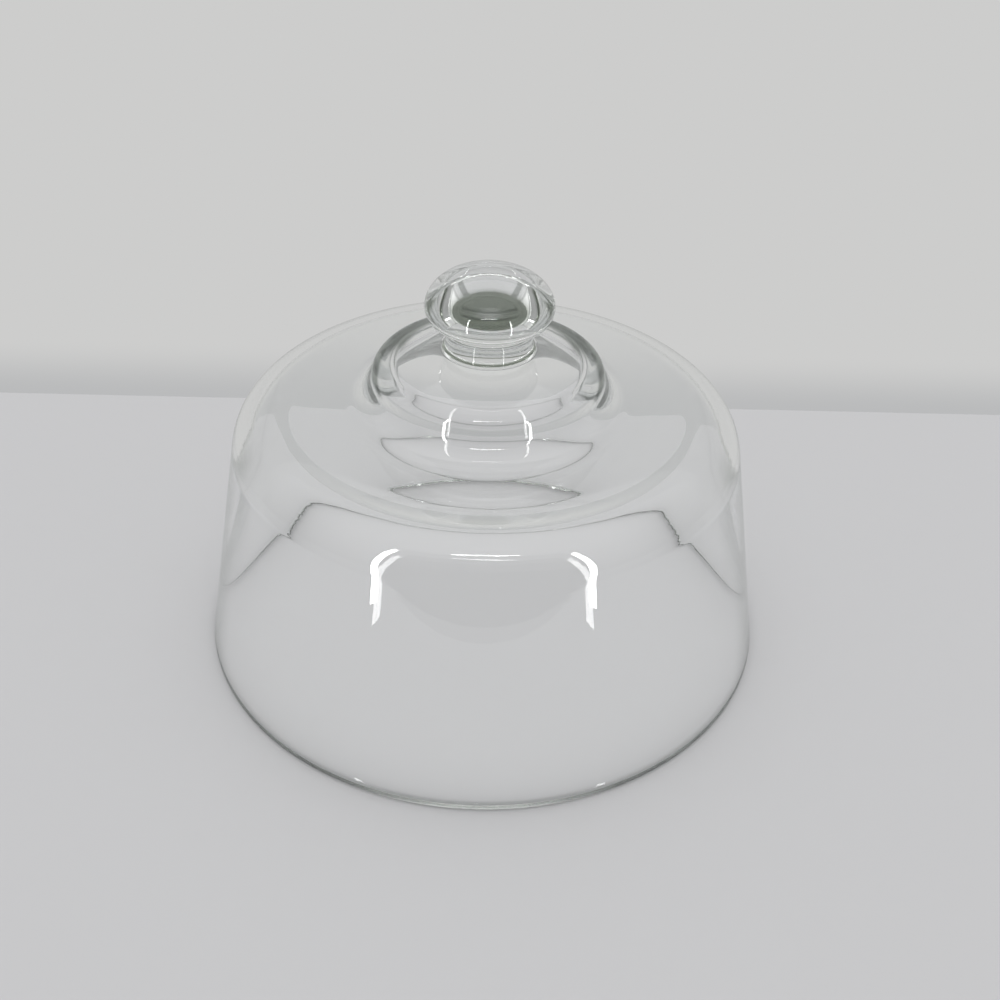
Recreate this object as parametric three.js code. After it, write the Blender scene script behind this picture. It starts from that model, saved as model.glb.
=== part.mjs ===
// Clear glass cheese dome: a pressed bell with a hollow stepped hub, and a solid glass knob fused on top.
// Millimetres, +Z up. The origin is the centre of the rim circle, on the surface that the dome stands on.
import * as THREE from 'three';

// Bell wall and rim
const RIM_RADIUS = 90;
const WALL_THICKNESS = 4.4;
const WALL_TAPER_DEG = 10.5;
const RIM_EDGE_RADIUS = 1.3;

// Outer shoulder: a tight arc off the wall, then a wide arc, then the slightly domed crown
const SHOULDER_START = 69.8;
const SHOULDER_RADIUS = 13.7;
const SHOULDER_END_DEG = 32;
const CROWN_EDGE_RADIUS = 28.8;
const CROWN_EDGE_DEG = 5;

// Hub: a rounded step with a shallow cone on top, its corner this high above the edge of the crown
const HUB_RADIUS = 33.8;
const HUB_HEIGHT = 11.3;
const HUB_CONE_DEG = 12.6;
const HUB_SIDE_TAPER_DEG = 13;
const HUB_EDGE_RADIUS = 5.5;
const HUB_FOOT_RADIUS = 6.9;

// Inside: an almost flat ceiling below the edge of the crown, with a hollow under the hub.
// The mouth of the hollow flares out past the corner of the hub, and its top stays below the seam.
const CROWN_THICKNESS = 6.3;
const CEILING_RADIUS = 4300;
const INNER_SHOULDER_RADIUS = 13.2;
const HOLLOW_FLARE = 8.4;
const HOLLOW_MOUTH_RADIUS = 12.4;
const HOLLOW_SIDE_TAPER_DEG = 19;
const HOLLOW_EDGE_RADIUS = 3.6;
const HOLLOW_TOP_RADIUS = 94.5;
const HUB_TOP_THICKNESS = 3.1;

// Neck and knob. The seam lies part-way up the neck's fillet, where the outline has this slope.
const WAIST_RADIUS = 13;
const NECK_FILLET_RADIUS = 2;
const NECK_LENGTH = 4;
const NECK_TAPER_DEG = 4;
const SEAM_SLOPE_DEG = 45;
const HEAD_RADIUS = 18.8;
const HEAD_TOP_RISE = 11.2;
const HEAD_UNDER_DROP = 7.4;
const HEAD_UNDER_FULLNESS = 2.5;

// Facets
const BELL_SEGMENTS = 72;
const KNOB_SEGMENTS = 60;
const SHOULDER_STEPS = 6;
const CROWN_STEPS = 4;
const HUB_STEPS = 5;
const EDGE_STEPS = 3;
const HEAD_STEPS = 12;

const point = (r, z) => new THREE.Vector2(r, z);
const radians = THREE.MathUtils.degToRad;

// Direction square to the outside of the bell where it falls away from the axis at a slope
function outward(slopeDeg) {
  return point(Math.sin(radians(slopeDeg)), Math.cos(radians(slopeDeg)));
}

// Direction of a side that leans towards the axis as it rises
function upAtTaper(taperDeg) {
  return point(-Math.sin(radians(taperDeg)), Math.cos(radians(taperDeg)));
}

// The same direction turned a quarter to the left, which points to the axis on a rising side
function leftOf(along) {
  return point(-along.y, along.x);
}

// Where a straight side reaches a height
function atHeight(start, along, height) {
  return start.clone().addScaledVector(along, (height - start.y) / along.y);
}

// Points of the arc about a centre that runs the short way from one point to another
function arcBetween(centre, from, to, steps) {
  const start = from.clone().sub(centre);
  const end = to.clone().sub(centre);
  const turn = Math.atan2(start.cross(end), start.dot(end));
  const points = [];
  for (let i = 0; i <= steps; i += 1) {
    points.push(start.clone().rotateAround(point(0, 0), (turn * i) / steps).add(centre));
  }
  return points;
}

// A corner of the outline turned into an arc that touches both of its sides
function roundCorner(before, corner, after, radius, steps) {
  const toBefore = before.clone().sub(corner).normalize();
  const toAfter = after.clone().sub(corner).normalize();
  const half = Math.acos(toBefore.dot(toAfter)) / 2;
  const reach = radius / Math.tan(half);
  const middle = toBefore.clone().add(toAfter).setLength(radius / Math.sin(half));
  const from = corner.clone().addScaledVector(toBefore, reach);
  const to = corner.clone().addScaledVector(toAfter, reach);
  return arcBetween(corner.clone().add(middle), from, to, steps);
}

// A cap centred on the axis, by the height of its top and its radius
function capUnder(top, radius) {
  const normalAt = (r) => point(r / radius, Math.sqrt(1 - (r / radius) ** 2));
  return { centre: point(0, top - radius), radius, normalAt };
}

// The arc that touches a straight side and a cap.
// The arc's centre lies to the left of the side: inside the cap for an edge, outside it for a foot.
function blendSideToCap(start, along, radius, cap, inside) {
  const offset = start.clone().addScaledVector(leftOf(along), radius);
  const reach = inside ? cap.radius - radius : cap.radius + radius;
  const base = offset.clone().sub(cap.centre);
  const ahead = base.dot(along);
  const root = Math.sqrt(ahead * ahead - base.lengthSq() + reach * reach);
  const run = inside ? root - ahead : -root - ahead;
  const centre = offset.addScaledVector(along, run);
  const onSide = start.clone().addScaledVector(along, run);
  const onCap = centre.clone().sub(cap.centre).setLength(cap.radius).add(cap.centre);
  return { centre, onSide, onCap };
}

const wallUp = upAtTaper(WALL_TAPER_DEG);
const outerRim = point(RIM_RADIUS, 0);
const innerRim = point(RIM_RADIUS - WALL_THICKNESS / wallUp.y, 0);

// Outer shoulder, and the cap of the crown that follows on from it
function shoulderArcs() {
  const wallEnd = atHeight(outerRim, wallUp, SHOULDER_START);
  const tightCentre = wallEnd.clone().addScaledVector(leftOf(wallUp), SHOULDER_RADIUS);
  const tightEnd = tightCentre.clone().addScaledVector(outward(SHOULDER_END_DEG), SHOULDER_RADIUS);
  const wideCentre = tightEnd.clone().addScaledVector(outward(SHOULDER_END_DEG), -CROWN_EDGE_RADIUS);
  const crownEdge = wideCentre.clone().addScaledVector(outward(CROWN_EDGE_DEG), CROWN_EDGE_RADIUS);
  const crownRadius = crownEdge.x / outward(CROWN_EDGE_DEG).x;
  const crown = capUnder(crownEdge.y + crownRadius * (1 - outward(CROWN_EDGE_DEG).y), crownRadius);
  const points = [
    ...arcBetween(tightCentre, wallEnd, tightEnd, SHOULDER_STEPS),
    ...arcBetween(wideCentre, tightEnd, crownEdge, CROWN_STEPS).slice(1),
  ];
  return { points, crown, crownEdge };
}

const shoulder = shoulderArcs();
const hubCorner = point(HUB_RADIUS, shoulder.crownEdge.y + HUB_HEIGHT);

// Fillet between the cone of the hub and the neck of the knob, cut in two by the seam
function neckFillet() {
  const centreR = WAIST_RADIUS + NECK_FILLET_RADIUS;
  const cone = outward(HUB_CONE_DEG);
  const coneZ = hubCorner.y + (hubCorner.x - centreR) * Math.tan(radians(HUB_CONE_DEG));
  const centre = point(centreR, coneZ + NECK_FILLET_RADIUS / cone.y);
  const onFillet = (direction) => centre.clone().addScaledVector(direction, -NECK_FILLET_RADIUS);
  return {
    centre,
    onCone: onFillet(cone),
    seam: onFillet(outward(SEAM_SLOPE_DEG)),
    onNeck: onFillet(outward(90 - NECK_TAPER_DEG)),
  };
}

const fillet = neckFillet();

// Inside of the bell, from the top of the hollow down to the wall
function insideOutline() {
  const top = point(0, fillet.seam.y - HUB_TOP_THICKNESS);
  const roof = capUnder(top.y, HOLLOW_TOP_RADIUS);
  const ceiling = capUnder(shoulder.crownEdge.y - CROWN_THICKNESS, CEILING_RADIUS);
  const sideUp = upAtTaper(HOLLOW_SIDE_TAPER_DEG);
  const mouthNormal = ceiling.normalAt(HUB_RADIUS + HOLLOW_FLARE);
  const mouthEnd = ceiling.centre.clone().addScaledVector(mouthNormal, CEILING_RADIUS);
  const mouthCentre = mouthEnd.clone().addScaledVector(mouthNormal, HOLLOW_MOUTH_RADIUS);
  const mouthTop = mouthCentre.clone().addScaledVector(leftOf(sideUp), HOLLOW_MOUTH_RADIUS);
  const edge = blendSideToCap(mouthTop, sideUp, HOLLOW_EDGE_RADIUS, roof, true);
  const turn = blendSideToCap(innerRim, wallUp, INNER_SHOULDER_RADIUS, ceiling, true);
  return [
    ...arcBetween(roof.centre, top, edge.onCap, CROWN_STEPS),
    ...arcBetween(edge.centre, edge.onCap, edge.onSide, HUB_STEPS).slice(1),
    ...arcBetween(mouthCentre, mouthTop, mouthEnd, SHOULDER_STEPS),
    ...arcBetween(turn.centre, turn.onCap, turn.onSide, SHOULDER_STEPS),
  ];
}

// The rim: a narrow flat land between two rounded edges
function rimOutline() {
  const above = (edge) => edge.clone().addScaledVector(wallUp, WALL_THICKNESS);
  return [
    ...roundCorner(above(innerRim), innerRim, outerRim, RIM_EDGE_RADIUS, EDGE_STEPS),
    ...roundCorner(innerRim, outerRim, above(outerRim), RIM_EDGE_RADIUS, EDGE_STEPS),
  ];
}

// Outside of the bell, from the wall over the shoulder and crown to the hub and its flat seam face
function outsideOutline() {
  const { points, crown, crownEdge } = shoulder;
  const sideDown = upAtTaper(HUB_SIDE_TAPER_DEG).negate();
  const foot = blendSideToCap(hubCorner, sideDown, HUB_FOOT_RADIUS, crown, false);
  return [
    ...points,
    ...arcBetween(crown.centre, crownEdge, foot.onCap, CROWN_STEPS).slice(1),
    ...arcBetween(foot.centre, foot.onCap, foot.onSide, HUB_STEPS).slice(1),
    ...roundCorner(foot.onSide, hubCorner, fillet.onCone, HUB_EDGE_RADIUS, HUB_STEPS),
    ...arcBetween(fillet.centre, fillet.onCone, fillet.seam, HUB_STEPS),
    point(0, fillet.seam.y),
  ];
}

const equator = fillet.onNeck.y + NECK_LENGTH + HEAD_UNDER_DROP;

// Underside of the head, fuller than an ellipse: angle 0 is at the equator
function headUnder(angle) {
  const power = 2 / HEAD_UNDER_FULLNESS;
  const r = HEAD_RADIUS * Math.cos(angle) ** power;
  return point(r, equator - HEAD_UNDER_DROP * Math.sin(angle) ** power);
}

// Angle on the underside of the head where the neck runs into it, found by halving
function neckMeetsHead(start, along) {
  let low = 0;
  let high = Math.PI / 2;
  for (let i = 0; i < 40; i += 1) {
    const angle = (low + high) / 2;
    const under = headUnder(angle);
    if (under.x > atHeight(start, along, under.y).x) {
      low = angle;
    } else {
      high = angle;
    }
  }
  return low;
}

// Solid knob: the upper part of the neck's fillet, a short neck and an oblate head, fuller below
function knobOutline() {
  const meet = neckMeetsHead(fillet.onNeck, upAtTaper(NECK_TAPER_DEG));
  const under = [];
  for (let i = 0; i < HEAD_STEPS; i += 1) {
    under.push(headUnder(meet * (1 - i / HEAD_STEPS)));
  }
  const top = new THREE.EllipseCurve(0, equator, HEAD_RADIUS, HEAD_TOP_RISE, 0, Math.PI / 2);
  return [
    point(0, fillet.seam.y),
    ...arcBetween(fillet.centre, fillet.seam, fillet.onNeck, HUB_STEPS),
    ...under,
    ...top.getPoints(HEAD_STEPS).slice(0, -1),
    point(0, equator + HEAD_TOP_RISE),
  ];
}

// A turned solid about +Z
function turned(name, outline, segments, material) {
  const geometry = new THREE.LatheGeometry(outline, segments).rotateX(Math.PI / 2);
  const mesh = new THREE.Mesh(geometry, material);
  mesh.name = name;
  return mesh;
}

const bellGlass = new THREE.MeshStandardMaterial({ color: 0xdfe5e3, roughness: 0.04, metalness: 0 });
const knobGlass = new THREE.MeshStandardMaterial({ color: 0xd3dcd7, roughness: 0.03, metalness: 0 });

const dome = new THREE.Group();
dome.add(turned('bell', [...insideOutline(), ...rimOutline(), ...outsideOutline()], BELL_SEGMENTS, bellGlass));
dome.add(turned('knob', knobOutline(), KNOB_SEGMENTS, knobGlass));

export default dome;
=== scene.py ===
# Clear glass cheese dome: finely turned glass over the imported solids, on a pale floor in soft studio light
import cmath
import math

import bpy
from mathutils import Matrix, Vector


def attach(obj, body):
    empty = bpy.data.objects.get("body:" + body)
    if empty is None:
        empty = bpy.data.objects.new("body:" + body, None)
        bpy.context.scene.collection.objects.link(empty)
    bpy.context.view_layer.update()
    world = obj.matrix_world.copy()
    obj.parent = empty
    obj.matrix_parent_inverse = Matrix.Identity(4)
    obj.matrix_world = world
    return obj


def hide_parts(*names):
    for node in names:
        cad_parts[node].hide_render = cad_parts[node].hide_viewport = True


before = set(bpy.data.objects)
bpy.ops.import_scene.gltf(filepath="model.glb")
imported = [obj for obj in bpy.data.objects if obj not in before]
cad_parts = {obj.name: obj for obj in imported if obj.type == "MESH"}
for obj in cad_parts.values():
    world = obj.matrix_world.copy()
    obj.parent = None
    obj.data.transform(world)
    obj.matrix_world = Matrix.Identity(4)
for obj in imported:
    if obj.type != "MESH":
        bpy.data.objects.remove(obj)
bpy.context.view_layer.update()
scene = bpy.context.scene
MM = 0.001

# Bell wall and rim, in millimetres as in the solids
RIM_RADIUS = 90.0
WALL_THICKNESS = 4.4
WALL_TAPER_DEG = 10.5
RIM_EDGE_RADIUS = 1.3

# Outer shoulder: a tight arc off the wall, then a wide arc, then the slightly domed crown
SHOULDER_START = 69.8
SHOULDER_RADIUS = 13.7
SHOULDER_END_DEG = 32.0
CROWN_EDGE_RADIUS = 28.8
CROWN_EDGE_DEG = 5.0

# Hub: a rounded step with a shallow cone on top, its corner this high above the edge of the crown
HUB_RADIUS = 33.8
HUB_HEIGHT = 11.3
HUB_CONE_DEG = 12.6
HUB_SIDE_TAPER_DEG = 13.0
HUB_EDGE_RADIUS = 5.5
HUB_FOOT_RADIUS = 6.9

# Inside: an almost flat ceiling below the edge of the crown, with a hollow under the hub
CROWN_THICKNESS = 6.3
CEILING_RADIUS = 4300.0
INNER_SHOULDER_RADIUS = 13.2
HOLLOW_FLARE = 8.4
HOLLOW_MOUTH_RADIUS = 12.4
HOLLOW_SIDE_TAPER_DEG = 19.0
HOLLOW_EDGE_RADIUS = 3.6
HOLLOW_TOP_RADIUS = 94.5
HUB_TOP_THICKNESS = 3.1

# Neck and knob. The two seam faces are dished apart by a hair, so that they don't lie in one plane.
WAIST_RADIUS = 13.0
NECK_FILLET_RADIUS = 2.0
NECK_LENGTH = 4.0
NECK_TAPER_DEG = 4.0
SEAM_SLOPE_DEG = 45.0
SEAM_DISH = 0.02
HEAD_RADIUS = 18.8
HEAD_TOP_RISE = 11.2
HEAD_UNDER_DROP = 7.4
HEAD_UNDER_FULLNESS = 2.5
HEAD_FILLET = 1.8

# Fineness of the turned glass
SEGMENTS = 256
ARC_STEPS = 24
RIM_STEPS = 8
HEAD_FILLET_STEPS = 12
HEAD_UNDER_STEPS = 40
HEAD_TOP_STEPS = 48
HALVINGS = 60
ANGLE_STEP = 0.002
SAME_POINT = 1e-4
ON_AXIS = 1e-6


def unit(v):
    return v / abs(v)


def outward(slope_deg):
    """Normal of the outside of the bell where it falls away from the axis at a slope."""
    slope = math.radians(slope_deg)
    return complex(math.sin(slope), math.cos(slope))


def arc_between(centre, start, end, steps=ARC_STEPS):
    turn = cmath.phase((end - centre) / (start - centre))
    return [centre + (start - centre) * cmath.exp(1j * turn * i / steps) for i in range(steps + 1)]


def round_corner(before, corner, after, radius, steps=ARC_STEPS):
    to_before = unit(before - corner)
    to_after = unit(after - corner)
    half = abs(cmath.phase(to_after / to_before)) / 2
    reach = radius / math.tan(half)
    middle = unit(to_before + to_after) * radius / math.sin(half)
    return arc_between(corner + middle, corner + to_before * reach, corner + to_after * reach, steps)


def dot(a, b):
    return (a.conjugate() * b).real


def blend_side_to_cap(start, along, radius, cap_centre, cap_radius, inside):
    """The arc that touches a straight side and a circle centred on the axis, to the left of the side."""
    away = along * 1j
    reach = cap_radius - radius if inside else cap_radius + radius
    base = start + away * radius - cap_centre
    ahead = dot(base, along)
    root = math.sqrt(ahead * ahead - abs(base) ** 2 + reach * reach)
    run = root - ahead if inside else -root - ahead
    centre = start + away * radius + along * run
    on_cap = cap_centre + unit(centre - cap_centre) * cap_radius
    return centre, start + along * run, on_cap


def on_line(start, along, height):
    return start + along * ((height - start.imag) / along.imag)


def up_at_taper(taper_deg):
    """Direction of a side that leans towards the axis as it rises."""
    taper = math.radians(taper_deg)
    return complex(-math.sin(taper), math.cos(taper))


# Outline points are complex numbers: distance from the axis, then height
wall_up = up_at_taper(WALL_TAPER_DEG)
outer_rim = complex(RIM_RADIUS, 0)
inner_rim = complex(RIM_RADIUS - WALL_THICKNESS / wall_up.imag, 0)

# Outer shoulder and the cap of the crown
wall_end = on_line(outer_rim, wall_up, SHOULDER_START)
tight_centre = wall_end + SHOULDER_RADIUS * wall_up * 1j
tight_end = tight_centre + SHOULDER_RADIUS * outward(SHOULDER_END_DEG)
wide_centre = tight_end - CROWN_EDGE_RADIUS * outward(SHOULDER_END_DEG)
crown_edge = wide_centre + CROWN_EDGE_RADIUS * outward(CROWN_EDGE_DEG)
crown_radius = crown_edge.real / outward(CROWN_EDGE_DEG).real
crown_centre = crown_edge - crown_radius * outward(CROWN_EDGE_DEG)

# Hub, and the fillet between its cone and the neck, with the seam part-way up the fillet
hub_corner = complex(HUB_RADIUS, crown_edge.imag + HUB_HEIGHT)
fillet_r = WAIST_RADIUS + NECK_FILLET_RADIUS
cone_rise = (HUB_RADIUS - fillet_r) * math.tan(math.radians(HUB_CONE_DEG))
fillet_lift = NECK_FILLET_RADIUS / outward(HUB_CONE_DEG).imag
fillet_centre = complex(fillet_r, hub_corner.imag + cone_rise + fillet_lift)
on_cone = fillet_centre - NECK_FILLET_RADIUS * outward(HUB_CONE_DEG)
seam = fillet_centre - NECK_FILLET_RADIUS * outward(SEAM_SLOPE_DEG)
on_neck = fillet_centre - NECK_FILLET_RADIUS * outward(90 - NECK_TAPER_DEG)
equator = on_neck.imag + NECK_LENGTH + HEAD_UNDER_DROP


def inside_outline():
    """From the top of the hollow down to the wall."""
    top = complex(0, seam.imag - HUB_TOP_THICKNESS)
    roof_centre = top - 1j * HOLLOW_TOP_RADIUS
    side_up = up_at_taper(HOLLOW_SIDE_TAPER_DEG)
    ceiling_centre = complex(0, crown_edge.imag - CROWN_THICKNESS - CEILING_RADIUS)
    mouth_normal = outward(math.degrees(math.asin((HUB_RADIUS + HOLLOW_FLARE) / CEILING_RADIUS)))
    mouth_end = ceiling_centre + CEILING_RADIUS * mouth_normal
    mouth_centre = mouth_end + HOLLOW_MOUTH_RADIUS * mouth_normal
    mouth_top = mouth_centre + side_up * 1j * HOLLOW_MOUTH_RADIUS
    edge, edge_side, edge_roof = blend_side_to_cap(
        mouth_top, side_up, HOLLOW_EDGE_RADIUS, roof_centre, HOLLOW_TOP_RADIUS, True)
    turn, turn_side, turn_ceiling = blend_side_to_cap(
        inner_rim, wall_up, INNER_SHOULDER_RADIUS, ceiling_centre, CEILING_RADIUS, True)
    return (arc_between(roof_centre, top, edge_roof)
            + arc_between(edge, edge_roof, edge_side)[1:]
            + arc_between(mouth_centre, mouth_top, mouth_end)
            + arc_between(ceiling_centre, mouth_end, turn_ceiling)[1:]
            + arc_between(turn, turn_ceiling, turn_side)[1:])


def rim_outline():
    """A narrow flat land between two rounded edges."""
    inner_up = inner_rim + wall_up * WALL_THICKNESS
    outer_up = outer_rim + wall_up * WALL_THICKNESS
    return (round_corner(inner_up, inner_rim, outer_rim, RIM_EDGE_RADIUS, RIM_STEPS)
            + round_corner(inner_rim, outer_rim, outer_up, RIM_EDGE_RADIUS, RIM_STEPS))


def outside_outline():
    """From the wall over the shoulder, crown and hub to the seam."""
    foot, foot_side, foot_crown = blend_side_to_cap(
        hub_corner, -up_at_taper(HUB_SIDE_TAPER_DEG), HUB_FOOT_RADIUS, crown_centre, crown_radius, False)
    return (arc_between(tight_centre, wall_end, tight_end)
            + arc_between(wide_centre, tight_end, crown_edge)[1:]
            + arc_between(crown_centre, crown_edge, foot_crown)[1:]
            + arc_between(foot, foot_crown, foot_side)[1:]
            + round_corner(foot_side, hub_corner, on_cone, HUB_EDGE_RADIUS)
            + arc_between(fillet_centre, on_cone, seam))


def head_under(angle):
    power = 2 / HEAD_UNDER_FULLNESS
    return complex(HEAD_RADIUS * math.cos(angle) ** power,
                   equator - HEAD_UNDER_DROP * math.sin(angle) ** power)


def head_top(angle):
    return complex(HEAD_RADIUS * math.cos(angle), equator + HEAD_TOP_RISE * math.sin(angle))


def neck_meets_head(start, along):
    """Angle on the underside of the head where the straight neck runs into it."""
    low, high = 0.0, math.pi / 2
    for _ in range(HALVINGS):
        angle = (low + high) / 2
        under = head_under(angle)
        if under.real > on_line(start, along, under.imag).real:
            low = angle
        else:
            high = angle
    return low


def knob_outline():
    """From the seam up the neck, round the head and over it to the axis."""
    neck_up = up_at_taper(NECK_TAPER_DEG)
    meet = neck_meets_head(on_neck, neck_up)
    corner = head_under(meet)
    first = corner - neck_up * HEAD_FILLET
    last = meet
    while abs(head_under(last) - corner) < HEAD_FILLET:
        last -= ANGLE_STEP
    end = head_under(last)
    bend = [first * (1 - t) ** 2 + 2 * corner * t * (1 - t) + end * t * t
            for t in (i / HEAD_FILLET_STEPS for i in range(HEAD_FILLET_STEPS + 1))]
    under = [head_under(last * (1 - i / HEAD_UNDER_STEPS)) for i in range(1, HEAD_UNDER_STEPS + 1)]
    top = [head_top(math.pi / 2 * i / HEAD_TOP_STEPS) for i in range(1, HEAD_TOP_STEPS)]
    apex = complex(0, equator + HEAD_TOP_RISE)
    return arc_between(fillet_centre, seam, on_neck) + bend + under + top + [apex]


def thinned(outline):
    """The outline without points that lie on top of each other."""
    kept = [outline[0]]
    for p in outline[1:]:
        if abs(p - kept[-1]) > SAME_POINT:
            kept.append(p)
    return kept


def turned(name, outline, material):
    """A closed turned mesh about +Z, from an outline that starts and ends on the axis."""
    verts = []
    rings = []
    for p in thinned(outline):
        if p.real < ON_AXIS:
            rings.append([len(verts)])
            verts.append((0, 0, p.imag * MM))
            continue
        ring = []
        for k in range(SEGMENTS):
            a = 2 * math.pi * k / SEGMENTS
            ring.append(len(verts))
            verts.append((p.real * math.cos(a) * MM, p.real * math.sin(a) * MM, p.imag * MM))
        rings.append(ring)
    faces = []
    for low, high in zip(rings, rings[1:]):
        for k in range(SEGMENTS):
            j = (k + 1) % SEGMENTS
            if len(low) == 1:
                faces.append((low[0], high[j], high[k]))
            elif len(high) == 1:
                faces.append((low[k], low[j], high[0]))
            else:
                faces.append((low[k], low[j], high[j], high[k]))
    mesh = bpy.data.meshes.new(name)
    mesh.from_pydata(verts, [], faces)
    mesh.validate()
    mesh.materials.append(material)
    mark_seam(mesh, verts)
    piece = bpy.data.objects.new(name, mesh)
    scene.collection.objects.link(piece)
    return piece


def mark_seam(mesh, verts):
    """Marks the faces at the seam for the glass material, flat and with sharp edges. The rest is smooth."""
    marks = mesh.attributes.new("seam", "FLOAT", "FACE")
    seam_z = seam.imag * MM
    flat = set()
    for poly in mesh.polygons:
        on_seam = all(abs(verts[v][2] - seam_z) < 2 * SEAM_DISH * MM for v in poly.vertices)
        poly.use_smooth = not on_seam
        marks.data[poly.index].value = 1.0 if on_seam else 0.0
        if on_seam:
            flat.update(poly.edge_keys)
    for edge in mesh.edges:
        radius = [math.hypot(*verts[v][:2]) for v in edge.vertices]
        if edge.key in flat and min(radius) > ON_AXIS:
            edge.use_edge_sharp = True


class Nodes:
    """The nodes and links of one material or world, with short ways to add the usual ones."""

    def __init__(self, owner):
        owner.use_nodes = True
        self.owner = owner
        self.nodes, self.links = owner.node_tree.nodes, owner.node_tree.links
        self.nodes.clear()

    def add(self, kind, **inputs):
        node = self.nodes.new("ShaderNode" + kind)
        for key, value in inputs.items():
            self.put(node.inputs[key.replace("_", " ")], value)
        return node

    def put(self, socket, value):
        """Sets a socket to a plain value, or links it to an output, of a node to its first one."""
        if isinstance(value, bpy.types.Node):
            value = value.outputs[0]
        if isinstance(value, bpy.types.NodeSocket):
            self.links.new(value, socket)
        else:
            socket.default_value = value

    def maths(self, operation, a, b):
        node = self.add("Math")
        node.operation = operation
        self.put(node.inputs[0], a)
        self.put(node.inputs[1], b)
        return node.outputs[0]

    def ramp(self, value, low, high, start=0.0, end=1.0, kind="SMOOTHSTEP"):
        node = self.add("MapRange", Value=value, From_Min=low, From_Max=high, To_Min=start, To_Max=end)
        node.interpolation_type = kind
        return node.outputs[0]

    def zone(self, length, span, start=0.0, end=1.0):
        """A ramp along a length, over a span in millimetres."""
        return self.ramp(length, span[0] * MM, span[1] * MM, start, end)

    def blend(self, factor, first, second):
        node = self.add("Mix")
        node.data_type = "RGBA"
        self.put(node.inputs[0], factor)
        self.put(node.inputs[6], first)
        self.put(node.inputs[7], second)
        return node.outputs[2]

    def mix(self, factor, first, second):
        node = self.add("MixShader")
        for socket, value in zip(node.inputs, (factor, first, second)):
            self.put(socket, value)
        return node.outputs[0]


# Glass, with painted shade: edge-on, on the rounded edge of the hub, and at the foot of the rim.
# Facing runs from 0 straight on to 1 edge-on, evenly at this blend.
WHITE = (1, 1, 1, 1)
EVEN_FACING = 0.5
GLASS_IOR = 1.5
DEPTH_TINT = (0.78, 0.81, 0.785, 1)
DEPTH_DENSITY = 10.0
CLEAR_TINT = (0.992, 0.995, 0.993, 1)
EDGE_PAINTED_SHADE = (0.20, 0.23, 0.20, 1)
EDGE_FACING = (0.74, 0.97)
HUB_PAINTED_SHADE = (0.13, 0.15, 0.13, 1)
HUB_FACING = (0.51, 0.60)
HUB_SHADE_RADII = (0.70 * HUB_RADIUS, 0.78 * HUB_RADIUS)
HUB_SHADE_HEIGHTS = (hub_corner.imag - 5, hub_corner.imag - 3)
RIM_PAINTED_SHADE = (0.7, 0.72, 0.71, 1)
RIM_PAINTED_SHADE_HEIGHTS = (1.2, 0.3)

# Light that passes the glass to other surfaces: less where the glass is edge-on, and at the rim
SHADE_POWER = 4.0
EDGE_SHADE = 0.25
RIM_SHADE = 0.55
RIM_SHADE_HEIGHTS = (1.0, 2.5)

# Fine ripples left by the mould in the shoulder
RIPPLE_DEPTH = 0.016
RIPPLE_HEIGHT = 1.1
RIPPLE_LENGTH = 14.0
RIPPLE_DETAIL = 1.0
RIPPLE_HEIGHTS = (0.85 * SHOULDER_START, SHOULDER_START)
RIPPLE_RADII = (0.5 * RIM_RADIUS, 0.6 * RIM_RADIUS)

# Film on the seam, with painted shade near its edge for the dark eye and arc seen in the knob
SEAM_SHADE_RADII = (0.83 * seam.real, 0.93 * seam.real)
KNOB_SEAM_PAINTED_SHADE = (0.30, 0.33, 0.28, 1)


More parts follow.
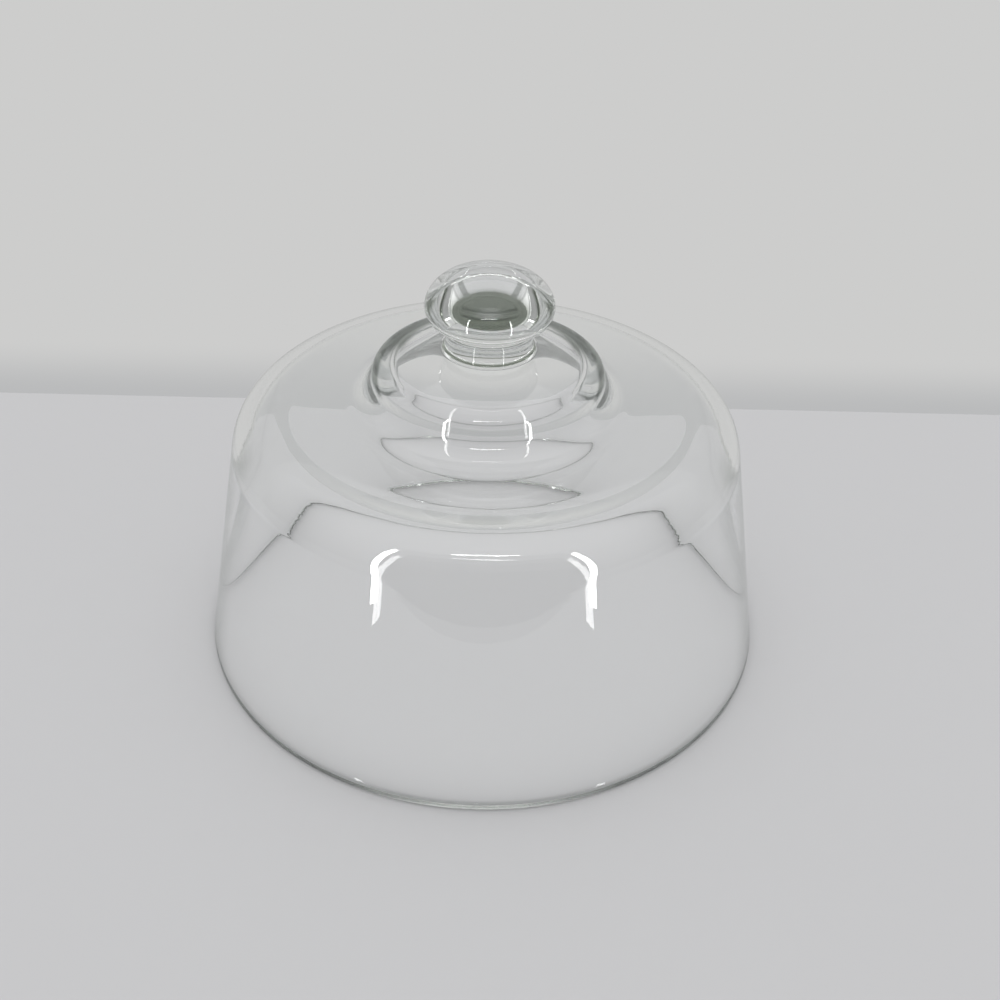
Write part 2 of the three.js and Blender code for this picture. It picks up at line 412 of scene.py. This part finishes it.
def glass(name, seam_shade_colour):
    """Clear glass, with painted shade where it is seen edge-on. Where the mesh is marked as seam, light goes
    straight through a film that is clear in the middle and has painted shade near the edge of the seam."""
    n = Nodes(bpy.data.materials.new(name))
    facing = n.add("LayerWeight", Blend=EVEN_FACING).outputs["Facing"]
    place = n.add("NewGeometry").outputs
    x, y, z = n.add("SeparateXYZ", Vector=place["Position"]).outputs
    across = n.maths("ADD", n.maths("MULTIPLY", x, x), n.maths("MULTIPLY", y, y))
    from_axis = n.maths("POWER", across, 0.5)

    # Painted shade on the hub's rounded edge, for its dark crescents; it shows only from outside
    hub_shade_band = n.maths("MULTIPLY", n.zone(from_axis, HUB_SHADE_RADII), n.zone(z, HUB_SHADE_HEIGHTS))
    outside = n.maths("SUBTRACT", 1.0, place["Backfacing"])
    hub_painted_shade = n.maths("MULTIPLY", n.maths("MULTIPLY", hub_shade_band, outside), n.ramp(facing, *HUB_FACING))
    # Painted shade where the glass is seen edge-on
    tint_and_shade = n.blend(n.ramp(facing, *EDGE_FACING), CLEAR_TINT, EDGE_PAINTED_SHADE)
    tint_and_shade = n.blend(hub_painted_shade, tint_and_shade, HUB_PAINTED_SHADE)
    # Painted shade at the foot of the rim, for its dark line and contact shadow
    tint_and_shade = n.blend(n.zone(z, RIM_PAINTED_SHADE_HEIGHTS), tint_and_shade, RIM_PAINTED_SHADE)

    stretched = n.add("CombineXYZ", X=n.maths("DIVIDE", x, RIPPLE_LENGTH * MM),
                      Y=n.maths("DIVIDE", y, RIPPLE_LENGTH * MM),
                      Z=n.maths("DIVIDE", z, RIPPLE_HEIGHT * MM))
    ripple = n.add("TexNoise", Vector=stretched, Scale=1.0, Detail=RIPPLE_DETAIL)
    on_shoulder = n.maths("MULTIPLY", n.zone(z, RIPPLE_HEIGHTS), n.zone(from_axis, RIPPLE_RADII))
    bump = n.add("Bump", Strength=on_shoulder, Distance=RIPPLE_DEPTH * MM, Height=ripple)
    body = n.add("BsdfPrincipled", Base_Color=tint_and_shade, Roughness=0.0, IOR=GLASS_IOR,
                 Transmission_Weight=1.0, Normal=bump)

    shade = n.ramp(n.maths("POWER", facing, SHADE_POWER), 0.0, 1.0, 1.0, EDGE_SHADE)
    shade = n.maths("MULTIPLY", shade, n.zone(z, RIM_SHADE_HEIGHTS, RIM_SHADE, 1.0))
    clear = n.add("BsdfTransparent", Color=shade)
    path = n.add("LightPath").outputs
    unseen = n.maths("MAXIMUM", path["Is Shadow Ray"], path["Is Diffuse Ray"])
    plain = n.mix(unseen, body, clear)

    # Painted shade in the film near the edge of the seam
    seam_shade = n.add("BsdfTransparent", Color=n.blend(n.zone(from_axis, SEAM_SHADE_RADII), WHITE, seam_shade_colour))
    on_seam = n.add("Attribute")
    on_seam.attribute_name = "seam"
    volume = n.add("VolumeAbsorption", Color=DEPTH_TINT, Density=DEPTH_DENSITY)
    n.add("OutputMaterial", Surface=n.mix(on_seam.outputs["Fac"], plain, seam_shade), Volume=volume)
    return n.owner


bell_glass = glass("bell_glass", WHITE)
knob_glass = glass("knob_glass", KNOB_SEAM_PAINTED_SHADE)

below_seam = complex(0, seam.imag - SEAM_DISH)
above_seam = complex(0, seam.imag + SEAM_DISH)
bell_outline = inside_outline() + rim_outline() + outside_outline() + [below_seam]
bell = turned("bell_clear", bell_outline, bell_glass)
knob = turned("knob_clear", [above_seam] + knob_outline(), knob_glass)
for piece, node, slot in ((bell, "bell", "bell_glass"), (knob, "knob", "knob_glass")):
    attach(piece, "root")
    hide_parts(node)

# Stage: sizes in rim radii. Lamp strips, and dark cards for painted reflections, stand in front of the dome.
R = RIM_RADIUS * MM
REACH = 9.0
BACK = 1.45
BACK_TOP = 3
FOOT_SHADE = 0.3
FRONT = -2.0
FRAME_TOP = 3.05
FRAME_HALF = 1.4
TOP_HALF = 0.55
STRIP = 0.1
SIDE_STRIP = 0.15
SIDE_LOW, SIDE_HIGH = 0.08, 2.6
CARD_Y = FRONT - 0.02
CARD_LOW, CARD_MID = 0.22, 1.9

# Tones of the stage
FLOOR_COLOUR = (0.61, 0.61, 0.62, 1)
BACK_COLOUR = (0.61, 0.61, 0.605, 1)
BACK_FOOT_PAINTED_SHADE = (0.49, 0.495, 0.5, 1)
LAMP_STRENGTH = 26.0
CARD_LOW_TONE, CARD_HIGH_TONE = 0.02, 0.4
PALE_COLOUR = (0.61, 0.61, 0.615, 1)
SKY_LEVEL, SKY_OVERHEAD = 0.35, 1.25
NO_REFLECTION = 0.5


def stage_panel(name, corners, material):
    mesh = bpy.data.meshes.new(name)
    mesh.from_pydata([tuple(c * R for c in v) for v in corners], [], [(0, 1, 2, 3)])
    mesh.materials.append(material)
    panel = bpy.data.objects.new(name, mesh)
    scene.collection.objects.link(panel)
    return panel


def level(half, front, back, z):
    """Corners of a level panel."""
    return [(-half, front, z), (half, front, z), (half, back, z), (-half, back, z)]


def upright(half, y, low, high):
    """Corners of an upright panel across the view."""
    return [(-half, y, low), (half, y, low), (half, y, high), (-half, y, high)]


def sideways(x, front, back, low, high):
    """Corners of an upright panel along the view."""
    return [(x, front, low), (x, back, low), (x, back, high), (x, front, high)]


def matt(name, colour):
    n = Nodes(bpy.data.materials.new(name))
    n.add("OutputMaterial", Surface=n.add("BsdfDiffuse", Color=colour))
    return n.owner


def glow(name, strength):
    n = Nodes(bpy.data.materials.new(name))
    n.add("OutputMaterial", Surface=n.add("Emission", Strength=strength))
    return n.owner


def backdrop_sheet(name, colour, foot_shade_colour):
    """A pale sheet that shows its own tone to the camera, in glass and in gloss, with painted shade
    towards its foot; clear from behind."""
    n = Nodes(bpy.data.materials.new(name))
    place = n.add("NewGeometry").outputs
    height = n.add("SeparateXYZ", Vector=place["Position"]).outputs["Z"]
    # Painted shade: darker towards the foot of the sheet
    shown = n.blend(n.ramp(height, 0.0, FOOT_SHADE * R), foot_shade_colour, colour)
    lit = n.add("BsdfDiffuse", Color=shown)
    tone = n.add("Emission", Color=shown)
    path = n.add("LightPath").outputs
    seen = n.maths("MAXIMUM", path["Is Camera Ray"], path["Is Glossy Ray"])
    seen = n.maths("MAXIMUM", seen, path["Is Transmission Ray"])
    clear = n.add("BsdfTransparent")
    n.add("OutputMaterial", Surface=n.mix(place["Backfacing"], n.mix(seen, lit, tone), clear))
    return n.owner


def dark_card(name, tone):
    """A card for a painted reflection: it shows its tone only in reflections inside or on the glass, and
    is clear to a straight look."""
    n = Nodes(bpy.data.materials.new(name))
    shown = n.add("Emission", Color=(tone, tone, tone, 1))
    clear = n.add("BsdfTransparent")
    reflected = n.maths("GREATER_THAN", n.add("LightPath").outputs["Glossy Depth"], NO_REFLECTION)
    n.add("OutputMaterial", Surface=n.mix(reflected, clear, shown))
    return n.owner


stage_panel("floor", level(REACH, -REACH, REACH, 0), matt("floor_paper", FLOOR_COLOUR))
backdrop = stage_panel("backdrop", upright(REACH, BACK, 0, BACK_TOP),
                       backdrop_sheet("backdrop_paper", BACK_COLOUR, BACK_FOOT_PAINTED_SHADE))
lamp = glow("lamp_strip", LAMP_STRENGTH)
helpers = [stage_panel("strip_top", level(TOP_HALF, FRONT, FRONT + STRIP, FRAME_TOP), lamp)]
for name, x in (("strip_left", -FRAME_HALF), ("strip_right", FRAME_HALF)):
    corners = sideways(x, FRONT, FRONT + SIDE_STRIP, SIDE_LOW, SIDE_HIGH)
    helpers.append(stage_panel(name, corners, lamp))
# Painted reflections: dark cards that show only in the glass
for name, low, high, tone in (("card_low", CARD_LOW, CARD_MID, CARD_LOW_TONE),
                              ("card_high", CARD_MID, FRAME_TOP, CARD_HIGH_TONE)):
    corners = upright(FRAME_HALF, CARD_Y, low, high)
    helpers.append(stage_panel(name, corners, dark_card(name, tone)))
for helper in helpers:
    helper.visible_camera = False
for sheet in helpers + [backdrop]:
    sheet.visible_shadow = False
    sheet.visible_diffuse = False


def studio_world():
    """Soft light, brighter overhead. A straight look sees a plain pale background."""
    n = Nodes(bpy.data.worlds.new("studio"))
    height = n.add("SeparateXYZ", Vector=n.add("TexCoord").outputs["Generated"]).outputs["Z"]
    light = n.ramp(height, 0.0, 1.0, SKY_LEVEL, SKY_OVERHEAD, "LINEAR")
    sky = n.add("Background", Color=WHITE, Strength=light)
    pale = n.add("Background", Color=PALE_COLOUR)
    path = n.add("LightPath").outputs
    straight = n.maths("LESS_THAN", path["Glossy Depth"], NO_REFLECTION)
    through = n.maths("MULTIPLY", straight, path["Is Transmission Ray"])
    seen = n.maths("MAXIMUM", path["Is Camera Ray"], through)
    n.add("OutputWorld", Surface=n.mix(seen, sky, pale))
    return n.owner


scene.world = studio_world()

# Camera at the photograph's place and angle, its place in rim radii
PICTURE_PX = 1000
FOCAL_PX = 1200.0
SENSOR_MM = 36.0
CLIP_START = 0.001
YAW, PITCH, ROLL = 0.0147, math.radians(35.82), math.radians(1.73)
CAMERA_BACK, CAMERA_UP = 3.463, 2.980
BOUNCES = 24

camera_data = bpy.data.cameras.new("camera")
camera_data.sensor_width = SENSOR_MM
camera_data.lens = FOCAL_PX * SENSOR_MM / PICTURE_PX
camera_data.clip_start = CLIP_START
camera = bpy.data.objects.new("camera", camera_data)
scene.collection.objects.link(camera)
ahead = Vector((math.sin(YAW) * math.cos(PITCH), math.cos(YAW) * math.cos(PITCH), -math.sin(PITCH)))
right = Vector((math.cos(YAW), -math.sin(YAW), 0))
up = right.cross(ahead)
right_rolled = right * math.cos(ROLL) + up * math.sin(ROLL)
up_rolled = -right * math.sin(ROLL) + up * math.cos(ROLL)
place = Matrix((right_rolled, up_rolled, -ahead)).transposed().to_4x4()
place.translation = Vector((0, -CAMERA_BACK * R, CAMERA_UP * R))
camera.matrix_world = place
scene.camera = camera
scene.view_settings.view_transform = "Standard"
scene.cycles.max_bounces = BOUNCES
scene.cycles.transmission_bounces = BOUNCES
scene.cycles.glossy_bounces = BOUNCES
scene.cycles.transparent_max_bounces = BOUNCES
